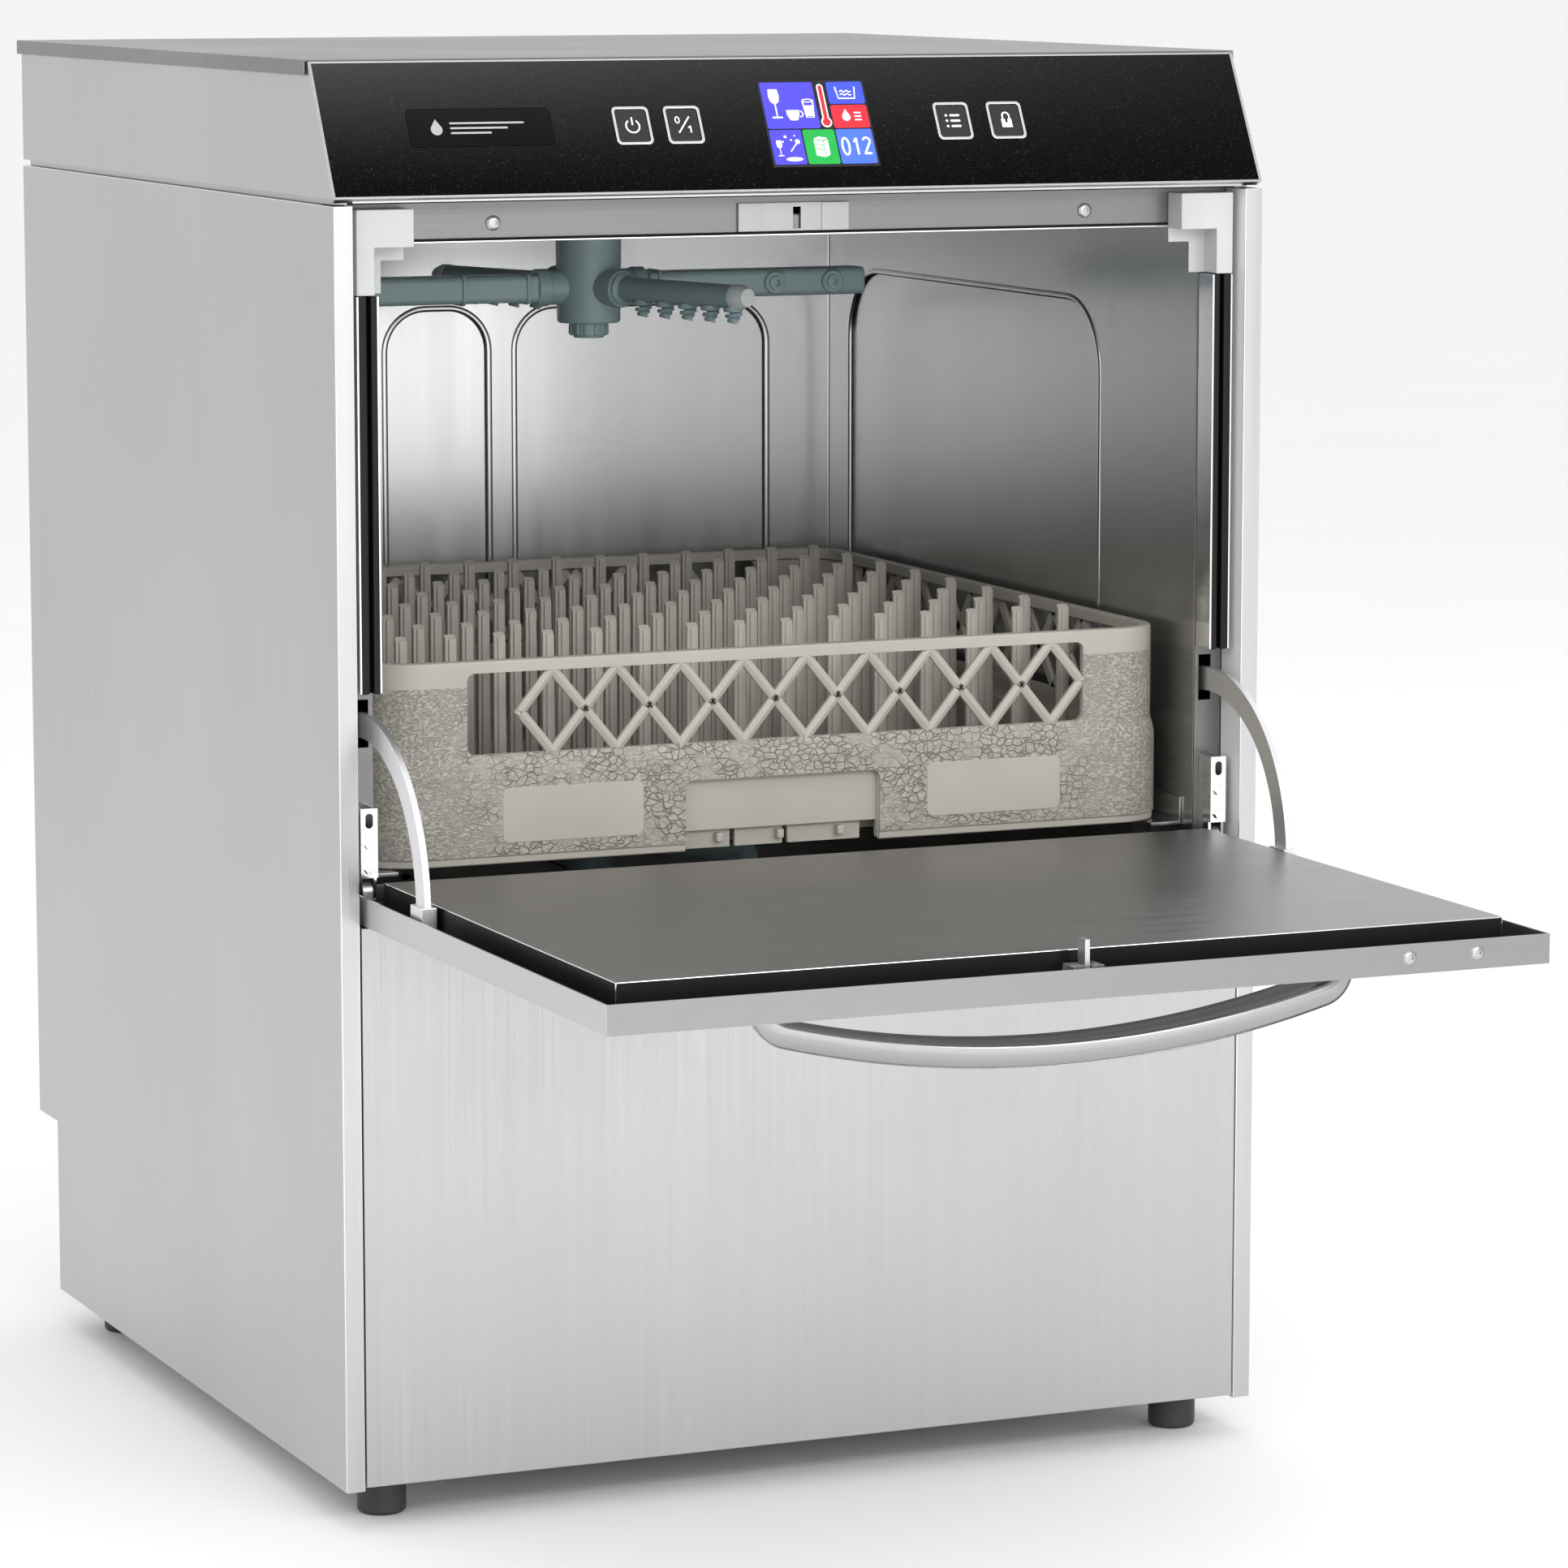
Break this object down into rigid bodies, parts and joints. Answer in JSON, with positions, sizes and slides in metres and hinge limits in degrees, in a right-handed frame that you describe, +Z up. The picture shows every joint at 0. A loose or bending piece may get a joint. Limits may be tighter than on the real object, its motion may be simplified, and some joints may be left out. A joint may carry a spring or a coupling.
{
  "type": "commercial dishwasher",
  "caption": "Front-loading commercial dishwasher with a drop-down door, sloped control fascia, spray arms and a sliding square dish rack.",
  "frame": {"origin": "centre of the footprint of the whole machine with its door open, on the floor", "axes": "+Z up, -Y towards the user in front of the door, +X to the right as seen from the front"},
  "size_m": [0.574, 0.9642, 0.82],
  "materials": {
    "casing_steel": "satin vertical grain",
    "chamber_steel": "smooth, semi-bright",
    "inner_steel": "plain mill",
    "bright_steel": "polished",
    "fascia_black": "fine speckled texture, semi-gloss",
    "key_black": "semi-gloss",
    "display_glass": "lit colour display under smooth glass",
    "guide_white": "satin moulded",
    "seal_rubber": "matt",
    "foot_black": "satin moulded",
    "arm_plastic": "satin moulded",
    "rack_plastic": "leather-grained moulding",
    "pump_plastic": "satin moulded",
    "clear_plastic": "clear",
    "board_green": "solder-masked board",
    "fitting_brass": "machined"
  },
  "bodies": {
    "cabinet": {"side_panel_left": "casing_steel", "side_panel_right": "casing_steel", "base_tray": "inner_steel", "feet": "foot_black", "front_frame": "casing_steel", "lower_front_panel": "casing_steel", "back_panel": "casing_steel", "control_housing": "casing_steel", "top_lid": "casing_steel", "fascia_panel": "fascia_black", "badge_blank": "fascia_black", "touch_display": "display_glass", "button_frames": "bright_steel", "control_board": "board_green", "latch_plate": "chamber_steel", "frame_screws": "bright_steel", "corner_guides": "guide_white", "opening_seals": "seal_rubber", "hinge_brackets": "bright_steel", "hinge_pins": "inner_steel", "hinge_nuts": "bright_steel", "wash_chamber": "chamber_steel", "wash_tank": "chamber_steel", "rack_rails": "chamber_steel", "tank_filters": "chamber_steel", "pump_strainer": "inner_steel", "overflow_pipe": "arm_plastic", "tank_heater": "inner_steel", "feed_pipe": "arm_plastic", "upper_arm_nut": "arm_plastic", "lower_feed_post": "arm_plastic", "wash_pump": "pump_plastic", "rinse_boiler": "chamber_steel", "inlet_valve": "guide_white", "drain_pump": "pump_plastic", "dosing_pumps": "pump_plastic", "water_inlet": "fitting_brass", "drain_outlet": "foot_black", "cable_gland": "foot_black"},
    "door": {"door_tray": "casing_steel", "door_liner": "chamber_steel", "door_gasket": "seal_rubber", "door_handle": "bright_steel", "door_striker": "inner_steel", "striker_cover": "clear_plastic", "door_magnet": "foot_black", "door_edge_screws": "bright_steel", "stay_arms": "bright_steel", "hinge_knuckles": "inner_steel"},
    "rack": {"dish_rack": "rack_plastic"},
    "upper_arm": {"upper_arm_hub": "arm_plastic", "upper_wash_blades": "arm_plastic", "upper_rinse_tubes": "arm_plastic", "upper_nozzles": "arm_plastic"},
    "lower_arm_body": {"lower_arm": "arm_plastic"},
    "impeller": {"pump_impeller": "arm_plastic"},
    "key_power": {"button_power": "key_black"},
    "key_start": {"button_start": "key_black"},
    "key_program": {"button_program": "key_black"},
    "key_lock": {"button_lock": "key_black"}
  },
  "joints": [
    {"name": "door_hinge", "type": "hinge", "parent": "cabinet", "child": "door", "pos_m": [0, -0.10015, 0.36025], "axis": [-1, 0, 0], "range_deg": [0, 90]},
    {"name": "rack_slide", "type": "slide", "parent": "cabinet", "child": "rack", "axis": [0, 1, 0], "range_m": [-0.28, 0]},
    {"name": "upper_arm_spin", "type": "hinge", "parent": "cabinet", "child": "upper_arm", "pos_m": [0, 0.2271, 0.672], "axis": [0, 0, 1], "continuous": true},
    {"name": "lower_arm_spin", "type": "hinge", "parent": "cabinet", "child": "lower_arm_body", "pos_m": [0, 0.2271, 0.335], "axis": [0, 0, 1], "continuous": true},
    {"name": "impeller_spin", "type": "hinge", "parent": "cabinet", "child": "impeller", "pos_m": [0.07, 0.1121, 0.105], "axis": [1, 0, 0], "continuous": true},
    {"name": "power_key", "type": "slide", "parent": "cabinet", "child": "key_power", "axis": [0, 0.8779, -0.4789], "range_m": [0, 0.001], "stiffness_N_per_m": 450},
    {"name": "start_key", "type": "slide", "parent": "cabinet", "child": "key_start", "axis": [0, 0.8779, -0.4789], "range_m": [0, 0.001], "stiffness_N_per_m": 450},
    {"name": "program_key", "type": "slide", "parent": "cabinet", "child": "key_program", "axis": [0, 0.8779, -0.4789], "range_m": [0, 0.001], "stiffness_N_per_m": 450},
    {"name": "lock_key", "type": "slide", "parent": "cabinet", "child": "key_lock", "axis": [0, 0.8779, -0.4789], "range_m": [0, 0.001], "stiffness_N_per_m": 450}
  ]
}
